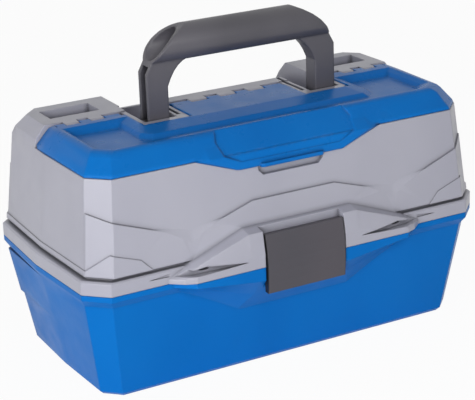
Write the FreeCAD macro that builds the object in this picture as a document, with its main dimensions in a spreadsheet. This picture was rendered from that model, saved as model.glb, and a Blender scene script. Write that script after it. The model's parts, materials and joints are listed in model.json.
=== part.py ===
import FreeCAD, Part
import math
import os

import Sketcher

# Tackle box with two cantilever trays, millimetres.
# X runs along the length, Y to the back, Z up.
# The origin is the middle of the flat underside.

# Sizes of the box. A pair names the size that this one is measured from and holds the distance.

DRIVING = {
    # base tub, outer outlines from the floor to the parting
    "foot_length": ("rim_length", -19.5), "foot_depth": ("rim_depth", -21.4), "foot_facet": 12.0,
    "heel_height": 3.2, "heel_length": ("foot_length", 3.1), "heel_depth": ("foot_depth", 2.9),
    "heel_facet": ("foot_facet", 1.0), "waist_height": ("parting_height", -10.8),
    "waist_length": ("rim_length", -3.8), "waist_depth": ("rim_depth", -5.2),
    "waist_facet": ("rim_facet", -1.2), "rim_low": ("parting_height", -4.4), "rim_length": 180.0,
    "rim_depth": 94.8, "rim_facet": 17.2, "parting_height": 92.8, "parting_gap": 0.3, "foot_bulge": 2.0,
    "rim_bulge": 4.0, "wall": 2.4, "floor_thickness": 2.8, "overrun": 20.0,
    # raised side bands of the base, which fade out towards the front
    "band_step": 2.2, "band_low": ("parting_height", -47.8), "band_in": ("waist_length", -26.2),
    # boss round the latch on the base
    "boss_face": ("rim_depth", 12.2), "boss_half": 97.0, "boss_root": ("boss_half", 26.0),
    "boss_lip": 4.0, "base_boss_low": ("parting_height", -24.8), "base_boss_half": ("latch_half", 6.6),
    "base_boss_foot": ("parting_height", -36.8), "base_boss_back": ("rim_depth", -7.8),
    "base_boss_face_low": ("rim_depth", 1.2), "base_boss_foot_half": ("base_boss_half", 8.0),
    "boss_depth": ("rim_depth", -10.8), "base_boss_mid_half": ("boss_half", 12.0),
    # boss round the latch on the lid
    "roof_height": ("parting_height", 28.7), "roof_half": ("latch_half", 13.6),
    "roof_back_height": ("parting_height", 31.7), "roof_face": ("boss_face", -3.4),
    "lid_boss_back": ("rim_depth", -6.8), "boss_shoulder": 3.6,
    "roof_back_shoulder": ("parting_height", 13.8), "roof_back_reach": ("boss_half", 0.0),
    "roof_mid_half": ("boss_half", 8.0), "brow_half": ("boss_half", -4.0),
    "boss_brow": ("parting_height", 7.5), "boss_crown": ("parting_height", 11.1),
    # lid walls
    "flange_top": ("parting_height", 11.6), "flange_soft": 1.2, "flange_turn": 2.2, "flange_skin": 1.0,
    "groove_low": ("flange_top", 0.3), "groove_high": ("flange_top", 2.0), "groove_depth": 1.6,
    "groove_skin": 3.8, "ledge_height": ("flange_top", 2.8), "ledge_length": ("rim_length", -4.4),
    "ledge_depth": ("rim_depth", -3.0), "ledge_facet": 16.4, "groove_facet": ("ledge_facet", -2.2),
    "room_facet": ("ledge_facet", -4.2), "shell_length": ("rim_length", -11.7),
    "shell_depth": ("rim_depth", -9.5), "shell_facet": 15.4, "shell_height": ("parting_height", 88.4),
    "wall_bulge": 3.0, "shell_bulge": 1.5, "brow_height": ("shell_height", 6.8),
    "brow_length": ("shell_length", -1.3), "brow_depth": ("shell_depth", -5.3), "brow_facet": 15.0,
    "top_height": ("shell_height", 16.8), "top_length": ("shell_length", -9.3),
    "top_depth": ("shell_depth", -16.3), "top_facet": 11.0, "ceiling_height": ("shell_height", -17.7),
    # raised lower panel of the front wall and its crease, with a slanted ledge at each dip
    "panel_inset": 0.2, "panel_step": 1.5, "panel_top": ("ledge_height", 50.8),
    "panel_top_length": ("shell_length", 2.0), "panel_top_depth": ("shell_depth", 3.6),
    "crease_side": ("ledge_height", 60.8), "crease_corner": ("rim_length", -20.0),
    "crease_corner_height": ("ledge_height", 43.1), "crease_slope": ("crease_corner", -36.0),
    "crease_slope_height": ("ledge_height", 30.1), "crease_dip": ("crease_slope", -32.0),
    "crease_dip_height": ("ledge_height", 17.2), "crease_dip_low": ("crease_dip_height", -5.4),
    "crease_dip_high": ("crease_dip_height", 11.0), "crease_near": ("ledge_depth", 0.6),
    "crease_far": ("ledge_depth", -3.2), "crease_rise": ("crease_dip", -28.0),
    "crease_rise_height": ("ledge_height", 27.4), "crease_peak": ("crease_rise", -27.0),
    "crease_peak_height": ("ledge_height", 35.8),
    # raised foot of the lid wall, which steps up at the corners
    "foot_step": 0.7, "foot_side_height": ("ledge_height", 3.4), "foot_turn": ("ledge_length", -0.6),
    "foot_turn_height": ("ledge_height", 4.4), "foot_corner": ("ledge_length", -15.6),
    "foot_corner_height": ("ledge_height", 17.5), "foot_fade": ("foot_corner", -24.0),
    "foot_fade_height": ("ledge_height", 9.3), "foot_end": ("foot_fade", -9.0),
    "foot_top_length": ("ledge_length", -1.7), "foot_top_depth": ("ledge_depth", -0.1),
    # top of the lid: handle frames, channel, shoulders and wells
    "frame_in": ("leg_in", -14.4), "frame_out": ("leg_out", 7.7), "frame_front": ("leg_front", 8.6),
    "frame_height": ("top_height", -0.8), "frame_cut": 4.0, "cover_back": ("cover_axis_y", 5.2),
    "foot_in": ("leg_in", -5.8), "foot_out": ("leg_out", 3.8), "foot_front": ("leg_front", 1.6),
    "foot_floor": ("shell_height", -7.2), "slit_in": ("frame_in", 3.0), "slit_out": ("slit_in", 3.2),
    "slit_front": 12.0, "slit_back": 31.0, "slit_floor": ("shell_height", 5.8),
    "channel_half": ("leg_out", 2.3), "channel_front": ("cover_back", 11.8),
    "channel_back": ("shell_depth", -3.3), "channel_floor": ("shell_height", -15.2),
    "channel_lip": ("shell_height", -1.2), "tray_pocket_out": ("shell_length", -19.3),
    "tray_pocket_in": ("frame_out", 12.1), "tray_pocket_front": 34.0, "tray_pocket_back": ("tray_pocket_front", 23.0),
    "tray_pocket_floor": ("shell_height", 8.8), "shoulder_in": ("frame_out", -2.9),
    "shoulder_front": ("cover_back", 2.4), "shoulder_roof": ("shell_height", 14.2),
    "well_floor": ("shell_height", -15.2), "well_front": ("shell_depth", -5.3), "well_back": 9.0,
    "well_side_in": ("frame_out", 3.6), "well_side_out": ("shell_length", -3.3),
    "well_front_back": 27.0, "well_front_half": ("well_side_in", -4.0),
    "well_mid_half": ("bar_half", -0.6), "well_mid_front": 24.6, "well_facet": 14.0, "bar_half": 50.6,
    "bar_back": 29.6, "bar_roof": ("shell_height", 6.8), "thumb_half": ("tab_half", 0.8),
    "thumb_low": ("shell_height", -20.2), "thumb_high": ("shell_height", -9.2), "thumb_depth": 1.2,
    "thumb_corner": 4.0,
    # flip cover
    "cover_gap": 0.4, "cover_length": ("shell_length", -0.4), "cover_depth": ("shell_depth", -0.2),
    "cover_facet": 15.4, "cover_hem": ("shell_height", 3.0), "cover_hem_length": ("cover_length", -0.8),
    "cover_hem_depth": ("cover_depth", -0.9), "cover_top_length": ("cover_length", -10.9),
    "cover_top_depth": ("cover_depth", -13.6), "cover_top_facet": 12.0,
    "rim_start": ("top_height", -3.4), "rim_start_length": ("cover_top_length", 2.5),
    "rim_start_depth": ("cover_top_depth", 3.1), "rim_round": 3.5, "cover_skin": 2.0,
    "cover_under": ("shell_height", 9.2), "cover_under_length": ("cover_length", -7.9),
    "cover_under_depth": ("cover_depth", -8.6), "cover_side_foot": ("cover_axis_y", 1.4),
    "cover_side_low": ("cover_side_foot", 2.6), "cover_notch": 0.7,
    "recess_floor": ("top_height", -5.5), "recess_length": ("cover_length", -21.9),
    "recess_front": ("cover_depth", -27.6), "recess_back": -4.3, "recess_in": ("frame_out", 13.1),
    "recess_shelf": ("recess_front", -10.0), "recess_facet": 11.0, "recess_corner": 8.0,
    "recess_top_length": ("recess_length", 6.6), "recess_top_front": ("recess_front", 9.1),
    "recess_back_top": ("recess_back", 7.0), "recess_bend": ("top_height", -2.4),
    "recess_bend_in": ("recess_in", -3.0), "recess_bend_shelf": ("recess_shelf", -4.5),
    "recess_bend_length": ("recess_length", 2.6), "recess_bend_front": ("recess_front", 4.0),
    "recess_bend_back": ("recess_back", 3.3), "recess_top_in": ("frame_out", 3.1),
    "recess_shelf_top": ("frame_front", 3.0), "cover_rear": ("cover_axis_y", -5.2),
    # apron of the cover, its dish and the thumb tab
    "apron_low": ("shell_height", -11.9), "apron_low_half": ("tab_half", 21.1), "apron_half": 84.0,
    "apron_low_run": 3.0, "apron_run": 12.0, "apron_high": ("shell_height", 10.8),
    "apron_depth_low": ("cover_depth", 3.8), "apron_depth": ("cover_depth", 3.3),
    "apron_depth_high": ("cover_depth", -8.9), "apron_in_low": ("cover_depth", 1.9),
    "apron_in": ("cover_depth", 0.6), "apron_in_high": ("cover_depth", -13.1),
    "dish_low": ("shell_height", -5.8), "dish_low_depth": ("cover_depth", 2.9),
    "dish_turn": ("shell_height", -0.2), "dish_turn_depth": ("cover_depth", 1.5),
    "dish_high": ("top_height", 0.6), "dish_high_depth": ("cover_depth", -17.1), "dish_back": 2.2,
    "dish_low_half": ("apron_low_half", -4.5), "dish_side": ("apron_half", -24.0),
    "dish_side_height": ("shell_height", 0.8), "dish_half": ("apron_half", -17.0),
    "dish_half_height": ("shell_height", 9.8), "dish_end": ("cover_depth", -21.1), "dish_taper": 12.0,
    "tab_half": 28.4, "tab_low": ("shell_height", -12.9), "tab_high": ("tab_low", 3.1),
    "tab_depth": ("cover_depth", 6.1), "tab_corner": 1.8, "crown_half": ("frame_in", -7.4),
    "crown_front": ("frame_front", -3.4), "crown_back": 6.0, "crown_roof": ("top_height", -2.2),
    # cover hinge
    "cover_axis_y": 15.0, "cover_axis_z": ("top_height", -4.2), "cover_knuckle": 4.2, "cover_pin": 1.5,
    "knuckle_gap": 0.4, "fit": 0.06, "knuckle_root": ("top_height", -7.6), "row_in": ("frame_in", -1.8),
    "row_out": ("frame_out", 3.9), "row_end": ("cover_length", -14.5),
    # lid hinge
    "lid_axis_y": ("rim_depth", 4.2), "lid_knuckle": 3.9, "lid_pin": 1.5, "lid_knuckle_long": 11.0,
    "lid_hinge_x": ("rim_length", -68.0), "lid_knuckle_root": ("rim_depth", -2.8),
    # carry handle
    "leg_in": 67.8, "leg_out": ("leg_in", 18.4), "leg_front": 14.8, "leg_back": 0.2, "leg_wall": 2.4,
    "elbow_low": ("shell_height", 40.8), "elbow_high": ("grip_z", -11.8), "elbow_in": ("leg_in", -22.8),
    "elbow_mid": ("leg_in", -8.2), "grip_z": ("top_height", 57.0), "grip_radius": 14.5,
    "grip_bore": 11.6, "grip_top_half": ("leg_out", -37.7), "end_low": ("grip_z", -21.0),
    "end_mid": ("leg_out", -13.6), "end_mid_height": ("grip_z", 7.2),
    "handle_axis_z": ("shell_height", 2.8), "handle_pin": 2.0, "leg_web": 3.0,
    "channel_low": ("shell_height", 13.8), "channel_high": ("grip_z", -15.6),
    "channel_turn": ("leg_out", -10.2), "channel_side_high": ("elbow_low", 7.0),
    "handle_pin_in": ("leg_in", -9.8), "handle_pin_out": ("leg_out", 6.2),
    # latch
    "latch_half": 35.4, "latch_gap": 1.4, "latch_axis_y": ("boss_face", -7.2),
    "latch_axis_z": ("parting_height", 21.8), "latch_barrel": 3.4, "latch_pin": 1.5,
    "latch_top": ("latch_axis_z", 4.0), "latch_top_face": ("boss_face", -2.4),
    "latch_mid": ("parting_height", 4.2), "latch_mid_face": ("boss_face", 3.6),
    "latch_low": ("parting_height", -22.3), "latch_low_face": ("boss_face", 0.4), "latch_skin": 2.4,
    "latch_back": ("boss_face", -4.6), "latch_recess_top": ("latch_axis_z", 8.8),
    "latch_recess_back": ("latch_axis_y", -4.2), "base_recess_back": ("boss_face", -5.8),
    "base_recess_low": ("parting_height", -24.8), "latch_root": ("boss_face", -6.0),
    "latch_pin_half": ("latch_half", 5.6), "catch_half": ("latch_half", -8.4),
    "catch_low": ("parting_height", -15.8), "catch_high": ("catch_low", 3.0),
    "catch_tip": ("boss_face", -3.0), "catch_root": ("boss_face", -10.0),
    "hook_low": ("catch_low", -4.6), "hook_high": ("catch_low", -1.0), "hook_tip": ("boss_face", -2.6),
    # trays and their dividers
    "tray_half": ("rim_length", -19.6), "tray_front": ("rim_depth", -14.8),
    "tray_back": ("rim_depth", -30.8), "tray_facet": 9.5, "tray_wall": 2.0,
    "lower_tray_low": ("parting_height", -12.8), "lower_tray_high": ("lower_tray_low", 24.0),
    "upper_tray_low": ("lower_tray_high", 1.0), "upper_tray_high": ("upper_tray_low", 26.0),
    "tray_floor": 1.8, "rib_y": -10.0, "rib_half": 0.8, "rib_x": 53.5, "divider_x": ("rib_x", 53.0),
    "divider_half": 0.9, "divider_drop": 3.0, "divider_play": 0.2,
    # tray arms and their pins
    "arm_length": 80.0, "arm_angle": 18.0, "arm_half": 5.0, "arm_inner": ("tray_half", 3.5),
    "arm_thick": 2.8, "arm_foot_z": ("parting_height", -6.8), "rear_arm_y": ("tray_back", 0.0),
    "front_arm_y": ("rear_arm_y", -50.0), "arm_pin": 2.0, "arm_boss": 5.4,
    "arm_boss_face": ("tray_half", 6.8), "pin_head": 3.6, "pin_head_thick": 1.2, "pin_play": 0.3,
    "pin_end": ("tray_half", 11.6), "link_boss": 5.0, "link_boss_face": ("tray_half", 1.8),
    "link_head_face": ("tray_half", -4.2),
}


class Term:
    """A length that carries both its number and its formula in the sheet."""

    def __init__(self, value, text):
        self.value = float(value)
        self.text = text

    def join(self, other, value, sign):
        return Term(value, "(%s %s %s)" % (self.text, sign, term(other).text))

    def __float__(self):
        return self.value

    def __add__(self, other):
        return self.join(other, self.value + float(other), "+")

    def __sub__(self, other):
        return self.join(other, self.value - float(other), "-")

    def __mul__(self, other):
        return self.join(other, self.value * float(other), "*")

    def __truediv__(self, other):
        return self.join(other, self.value / float(other), "/")

    def __neg__(self):
        return Term(-self.value, "(-%s)" % self.text)


def term(item):
    return item if isinstance(item, Term) else Term(item, repr(float(item)))


class Sizes:
    """The sheet's values by name, each added to the size that it is measured from."""

    def __getattr__(self, name):
        entry = DRIVING[name]
        if isinstance(entry, tuple):
            start, distance = entry
            return getattr(self, start) + Term(distance, "Sizes.%s" % name)
        return Term(entry, "Sizes.%s" % name)


S = Sizes()
doc = FreeCAD.newDocument("TackleBox")


def make_sheet():
    sheet = doc.addObject("Spreadsheet::Sheet", "Sizes")
    for row, (name, entry) in enumerate(DRIVING.items(), start=1):
        number = entry[1] if isinstance(entry, tuple) else entry
        sheet.set("A%d" % row, name)
        sheet.set("B%d" % row, str(number))
        sheet.setAlias("B%d" % row, name)
    doc.recompute()


def bind(target, path, value):
    target.setExpression(path, term(value).text)


# Sketch helpers


def make_body(label):
    body = doc.addObject("PartDesign::Body", label)
    body.Label = label
    return body


def make_sketch(body, role, name, offset):
    sketch = body.newObject("Sketcher::SketchObject", name)
    plane = next(item for item in body.Origin.OriginFeatures if item.Role == role)
    sketch.AttachmentSupport = (plane, [""])
    sketch.MapMode = "FlatFace"
    if float(offset) != 0:
        sketch.AttachmentOffset = FreeCAD.Placement(
            FreeCAD.Vector(0, 0, float(offset)), FreeCAD.Rotation())
        bind(sketch, ".AttachmentOffset.Base.z", offset)
    return sketch


def pin_point(sketch, edge, end, point):
    for kind, axis, value in (("DistanceX", -2, point[0]), ("DistanceY", -1, point[1])):
        if float(value) == 0:
            sketch.addConstraint(Sketcher.Constraint("PointOnObject", edge, end, axis))
        else:
            number = sketch.addConstraint(
                Sketcher.Constraint(kind, -1, 1, edge, end, float(value)))
            if isinstance(value, Term):
                bind(sketch, "Constraints[%d]" % number, value)


def add_polygon(sketch, points):
    first = sketch.GeometryCount
    count = len(points)
    corners = [FreeCAD.Vector(float(a), float(b), 0) for a, b in points]
    for index in range(count):
        sketch.addGeometry(Part.LineSegment(corners[index], corners[(index + 1) % count]))
    for index in range(count):
        following = first + (index + 1) % count
        sketch.addConstraint(Sketcher.Constraint("Coincident", first + index, 2, following, 1))
    for index, point in enumerate(points):
        pin_point(sketch, first + index, 1, point)


def add_circle(sketch, centre, radius):
    middle = FreeCAD.Vector(float(centre[0]), float(centre[1]), 0)
    edge = sketch.addGeometry(
        Part.Circle(middle, FreeCAD.Vector(0, 0, 1), float(radius)))
    number = sketch.addConstraint(Sketcher.Constraint("Radius", edge, float(radius)))
    bind(sketch, "Constraints[%d]" % number, radius)
    pin_point(sketch, edge, 3, centre)


def fill_sketch(sketch, shapes):
    for shape in shapes:
        if isinstance(shape, Disc):
            add_circle(sketch, shape.centre, shape.radius)
        else:
            add_polygon(sketch, shape)


class Disc:
    """A round outline for a sketch."""

    def __init__(self, centre, radius):
        self.centre = centre
        self.radius = radius


# Feature helpers. Each sketch plane has its start and its way into the solid:
# plan sketches look down, front sketches look from the front, side sketches from the right.


def feature(body, kind, name, role, shapes, start, length):
    sketch = make_sketch(body, role, name + "Sketch", start)
    fill_sketch(sketch, shapes)
    result = body.newObject("PartDesign::" + kind, name)
    result.Profile = sketch
    result.Length = float(length)
    bind(result, "Length", length)
    return result


def pad_plan(body, name, shapes, low, high):
    return feature(body, "Pad", name, "XY_Plane", shapes, low, high - low)


def cut_plan(body, name, shapes, low, high):
    return feature(body, "Pocket", name, "XY_Plane", shapes, high, high - low)


def pad_front(body, name, shapes, front, back):
    """Front sketches hold X and Z; front and back are distances towards -Y."""
    return feature(body, "Pad", name, "XZ_Plane", shapes, back, front - back)


def cut_front(body, name, shapes, front, back):
    return feature(body, "Pocket", name, "XZ_Plane", shapes, front, front - back)


def pad_side(body, name, shapes, left, right):
    """Side sketches hold Y and Z and run along X."""
    return feature(body, "Pad", name, "YZ_Plane", shapes, left, right - left)


def cut_side(body, name, shapes, left, right):
    return feature(body, "Pocket", name, "YZ_Plane", shapes, right, right - left)


def loft(body, kind, name, role, sections):
    sketches = []
    for index, (offset, outline) in enumerate(sections):
        sketch = make_sketch(body, role, "%sSection%d" % (name, index), offset)
        add_polygon(sketch, outline)
        sketches.append(sketch)
    result = body.newObject("PartDesign::" + kind, name)
    result.Profile = sketches[0]
    result.Sections = [(sketch, [""]) for sketch in sketches[1:]]
    result.Ruled = True
    return result


def boolean(kind, label, base, tool):
    result = doc.addObject("Part::" + kind, label)
    result.Label = label
    result.Base = base
    result.Tool = tool
    return result


def cylinder(label, radius, length, centre, side=1):
    """A round pin along X that starts at centre and runs outwards on its side."""
    pin = doc.addObject("Part::Cylinder", label)
    bind(pin, "Radius", radius)
    bind(pin, "Height", length)
    turn = FreeCAD.Rotation(FreeCAD.Vector(0, 1, 0), 90 * side)
    pin.Placement = FreeCAD.Placement(FreeCAD.Vector(), turn)
    for axis, value in zip("xyz", centre):
        if float(value) != 0:
            bind(pin, ".Placement.Base.%s" % axis, value)
    return pin


def group(label, members):
    result = doc.addObject("Part::Compound", label)
    result.Label = label
    result.Links = members
    return result


# Outlines


def plan(length, depth, facet, bulge):
    """Ten-sided plan outline with faceted corners and slightly bowed ends."""
    return symmetric([(length - facet, -depth), (length, facet - depth), (length + bulge, 0),
                      (length, depth - facet), (length - facet, depth)])


def bow(start, middle, end, steps):
    """Points of a smooth curve that leaves start, bends towards middle and reaches end."""
    points = []
    for index in range(steps + 1):
        share = index / steps
        rest = 1 - share
        points.append(tuple(a * (rest * rest) + b * (2 * share * rest) + c * (share * share)
                            for a, b, c in zip(start, middle, end)))
    return points


BOW_STEPS = 6


def oblong(x_low, x_high, y_low, y_high):
    return [(x_low, y_low), (x_high, y_low), (x_high, y_high), (x_low, y_high)]


def mirrored(outline):
    return [(-x if float(x) != 0 else 0, y) for x, y in outline]


def both_sides(outline):
    return [outline, mirrored(outline)]


def symmetric(half):
    """Closes an outline given on the right half, from its first to its last point."""
    return half + [(-x, y) for x, y in reversed(half)]


# Base tub


def knuckle_spans(centre, count, width, gap, first):
    """Every second span of a row of knuckles, from the first one that is asked for."""
    start = centre - width * count / 2
    return [(start + width * index, start + width * (index + 1) - gap)
            for index in range(first, count, 2)]


KNUCKLES = 5


def lid_hinge_spans(first):
    centres = (-S.lid_hinge_x, S.lid_hinge_x)
    return [span for centre in centres
            for span in knuckle_spans(centre, KNUCKLES, S.lid_knuckle_long, S.knuckle_gap, first)]


def add_lid_knuckles(body, first, root_low, root_high, bore):
    """Rear knuckles with a short root that grows out of the rim."""
    axis = (S.lid_axis_y, S.parting_height)
    root = [(S.lid_knuckle_root, root_low), (S.lid_axis_y, root_low),
            (S.lid_axis_y, root_high), (S.lid_knuckle_root, root_high)]
    for index, (left, right) in enumerate(lid_hinge_spans(first)):
        pad_side(body, "KnuckleRoot%d" % index, [root], left, right)
        pad_side(body, "Knuckle%d" % index, [Disc(axis, S.lid_knuckle)], left, right)
    reach = S.lid_hinge_x + S.lid_knuckle_long * KNUCKLES / 2 + S.lid_knuckle
    cut_side(body, "KnuckleBore", [Disc(axis, bore)], -reach, reach)


def make_base_shell():
    body = make_body("BaseShell")
    loft(body, "AdditiveLoft", "Outside", "XY_Plane", [
        (0, plan(S.foot_length, S.foot_depth, S.foot_facet, S.foot_bulge)),
        (S.heel_height, plan(S.heel_length, S.heel_depth, S.heel_facet, S.foot_bulge)),
        (S.waist_height, plan(S.waist_length, S.waist_depth, S.waist_facet, S.rim_bulge)),
        (S.rim_low, plan(S.rim_length, S.rim_depth, S.rim_facet, S.rim_bulge)),
        (S.parting_height, plan(S.rim_length, S.rim_depth, S.rim_facet, S.rim_bulge)),
    ])
    loft(body, "AdditiveLoft", "LatchBoss", "XZ_Plane", [
        (S.boss_depth, symmetric([(S.base_boss_foot_half, S.base_boss_foot - S.boss_lip),
                                  (S.boss_root, S.parting_height - S.boss_lip),
                                  (S.boss_root, S.parting_height)])),
        (S.base_boss_back, symmetric([(S.base_boss_foot_half, S.base_boss_foot),
                                      (S.boss_root, S.parting_height - S.boss_lip),
                                      (S.boss_root, S.parting_height)])),
        (S.base_boss_face_low, symmetric([(S.base_boss_half, S.base_boss_low),
                                          (S.base_boss_mid_half, S.parting_height - S.boss_lip),
                                          (S.base_boss_mid_half, S.parting_height)])),
        (S.boss_face, symmetric([(S.base_boss_half, S.waist_height),
                                 (S.boss_half, S.parting_height - S.boss_lip),
                                 (S.boss_half, S.parting_height)])),
    ])
    return body


def band_outline(length, depth, facet, bulge):
    """The walls' outline with its rear side corners set out by the band's step."""
    return symmetric([(length - facet, -depth), (length, facet - depth), (length + bulge, 0),
                      (length + S.band_step, depth - facet), (length - facet, depth)])


def make_base_band():
    """Side bands under the rim, flush in the middle of the sides and proud at the rear."""
    body = make_body("BaseBand")
    loft(body, "AdditiveLoft", "Outside", "XY_Plane", [
        (S.heel_height, band_outline(S.heel_length, S.heel_depth, S.heel_facet, S.foot_bulge)),
        (S.waist_height, band_outline(S.waist_length, S.waist_depth, S.waist_facet, S.rim_bulge)),
    ])
    mask = make_body("BandMask")
    side = oblong(S.band_in, S.rim_length + S.overrun, 0, S.rim_depth)
    pad_plan(mask, "SideBands", both_sides(side), S.band_low, S.waist_height)
    return boolean("Common", "BaseBandTrimmed", body, mask)


def make_base_tub():
    shell = boolean("Fuse", "BaseOutside", make_base_shell(), make_base_band())
    hollow = make_body("BaseHollow")
    rim_length = S.rim_length - S.wall
    rim_depth = S.rim_depth - S.wall
    loft(hollow, "AdditiveLoft", "Inside", "XY_Plane", [
        (S.floor_thickness, plan(S.heel_length - S.wall, S.heel_depth - S.wall, S.heel_facet,
                                 S.foot_bulge)),
        (S.waist_height, plan(S.waist_length - S.wall, S.waist_depth - S.wall, S.waist_facet,
                              S.rim_bulge)),
        (S.rim_low, plan(rim_length, rim_depth, S.rim_facet, S.rim_bulge)),
        (S.parting_height + S.wall, plan(rim_length, rim_depth, S.rim_facet, S.rim_bulge)),
    ])
    latch_half = S.latch_half + S.latch_gap
    recess = oblong(-latch_half, latch_half, S.base_recess_low, S.parting_height + S.wall)
    pad_front(hollow, "LatchRecess", [recess], S.boss_face + S.wall, S.base_recess_back)
    hollowed = boolean("Cut", "BaseHollowed", shell, hollow)
    details = make_body("BaseDetails")
    catch = [(-S.catch_root, S.catch_low), (-S.catch_tip, S.catch_low + S.parting_gap),
             (-S.catch_tip, S.catch_high - S.wall), (-S.catch_root, S.catch_high + S.wall)]
    pad_side(details, "Catch", [catch], -S.catch_half, S.catch_half)
    for name, y, end in (("Rear", S.rear_arm_y, S.waist_length),
                         ("Front", S.front_arm_y, S.waist_length + S.rim_bulge / 2)):
        boss = [Disc((y, S.arm_foot_z), S.arm_boss)]
        pad_side(details, "Right%sArmBoss" % name, boss, S.arm_boss_face, end)
        pad_side(details, "Left%sArmBoss" % name, boss, -end, -S.arm_boss_face)
    joined = boolean("Fuse", "BaseJoined", hollowed, details)
    knuckles = make_body("BaseKnuckles")
    add_lid_knuckles(knuckles, 0, S.rim_low, S.parting_height, S.lid_pin)
    trimmed = boolean("Fuse", "BaseWithKnuckles", joined, knuckles)
    bores = make_body("BaseBores")
    holes = [Disc((y, S.arm_foot_z), S.arm_pin) for y in (S.rear_arm_y, S.front_arm_y)]
    pad_side(bores, "RightBores", holes, S.arm_boss_face - S.wall, S.pin_end)
    pad_side(bores, "LeftBores", holes, -S.pin_end, S.wall - S.arm_boss_face)
    return boolean("Cut", "base_tub", trimmed, bores)


# Lid shell


def crease_outline(dip):
    """Front outline of the raised panel, with the height of its two dips given."""
    return symmetric([(S.rim_length + S.overrun, S.ledge_height),
                      (S.rim_length + S.overrun, S.crease_side),
                      (S.crease_corner, S.crease_corner_height),
                      (S.crease_slope, S.crease_slope_height), (S.crease_dip, dip),
                      (S.crease_rise, S.crease_rise_height),
                      (S.crease_peak, S.crease_peak_height)])


def make_lid_panel():
    """Raised panels on the front and rear walls under the crease, flush on the sides."""
    panel = make_body("LidPanel")
    depth = S.ledge_depth + S.panel_step
    loft(panel, "AdditiveLoft", "Outside", "XY_Plane", [
        (S.ledge_height, plan(S.ledge_length - S.panel_inset, depth, S.ledge_facet, S.wall_bulge)),
        (S.panel_top, plan(S.panel_top_length, S.panel_top_depth, S.shell_facet, S.shell_bulge)),
    ])
    mask = make_body("CreaseMask")
    near = crease_outline(S.crease_dip_low)
    far = crease_outline(S.crease_dip_high)
    pad_front(mask, "CreaseFront", [near], S.rim_depth, S.crease_near)
    loft(mask, "AdditiveLoft", "CreaseLedge", "XZ_Plane", [(S.crease_near, near), (S.crease_far, far)])
    pad_front(mask, "CreaseInside", [far], S.crease_far, term(0))
    pad_front(mask, "CreaseBack", [crease_outline(S.crease_dip_height)], term(0), -S.rim_depth)
    return boolean("Common", "LidPanelTrimmed", panel, mask)


def make_lid_foot():
    """Raised foot of the wall that runs along the sides and steps up at the corners."""
    foot = make_body("LidFoot")
    step = S.foot_step
    top = S.foot_corner_height + S.foot_step
    loft(foot, "AdditiveLoft", "Outside", "XY_Plane", [
        (S.ledge_height, plan(S.ledge_length + step, S.ledge_depth + S.panel_step + step,
                              S.ledge_facet, S.wall_bulge)),
        (top, plan(S.foot_top_length + step, S.foot_top_depth + step, S.ledge_facet,
                   S.wall_bulge)),
    ])
    mask = make_body("FootMask")
    outline = [(S.foot_end, S.ledge_height), (S.rim_length + S.overrun, S.ledge_height),
               (S.rim_length + S.overrun, S.foot_side_height), (S.foot_turn, S.foot_turn_height),
               (S.foot_corner, S.foot_corner_height), (S.foot_fade, S.foot_fade_height)]
    pad_front(mask, "FootBand", both_sides(outline), S.rim_depth, -S.rim_depth)
    return boolean("Common", "LidFootTrimmed", foot, mask)


def make_lid_outside():
    core = make_body("LidCore")
    groove_length = S.ledge_length - S.groove_depth
    groove_depth = S.ledge_depth - S.groove_depth
    loft(core, "AdditiveLoft", "Outside", "XY_Plane", [
        (S.parting_height + S.parting_gap, plan(S.rim_length, S.rim_depth, S.rim_facet, S.rim_bulge)),
        (S.flange_top - S.flange_soft, plan(S.rim_length, S.rim_depth, S.rim_facet, S.rim_bulge)),
        (S.flange_top, plan(S.rim_length - S.flange_soft, S.rim_depth - S.flange_soft, S.rim_facet,
                            S.rim_bulge)),
        (S.groove_low, plan(groove_length, groove_depth, S.groove_facet, S.wall_bulge)),
        (S.groove_high, plan(groove_length, groove_depth, S.groove_facet, S.wall_bulge)),
        (S.ledge_height, plan(S.ledge_length, S.ledge_depth, S.ledge_facet, S.wall_bulge)),
        (S.shell_height, plan(S.shell_length, S.shell_depth, S.shell_facet, S.shell_bulge)),
        (S.brow_height, plan(S.brow_length, S.brow_depth, S.brow_facet, S.shell_bulge)),
        (S.top_height, plan(S.top_length, S.top_depth, S.top_facet, S.shell_bulge)),
    ])
    low = S.parting_height + S.parting_gap
    loft(core, "AdditiveLoft", "LatchBoss", "XZ_Plane", [
        (S.lid_boss_back, symmetric([(S.boss_root, low), (S.boss_root, low + S.boss_shoulder),
                                     (S.roof_back_reach, S.roof_back_shoulder),
                                     (S.roof_half, S.roof_back_height)])),
        (S.roof_face, symmetric([(S.roof_mid_half, low),
                                 (S.roof_mid_half, low + S.boss_shoulder),
                                 (S.boss_half, S.flange_top),
                                 (S.roof_half, S.roof_height)])),
        (S.boss_face, symmetric([(S.boss_half, low), (S.boss_half, low + S.boss_shoulder),
                                 (S.brow_half, S.boss_brow), (S.roof_half, S.boss_crown)])),
    ])
    panelled = boolean("Fuse", "LidPanelled", core, make_lid_panel())
    return boolean("Fuse", "LidOutside", panelled, make_lid_foot())


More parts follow.
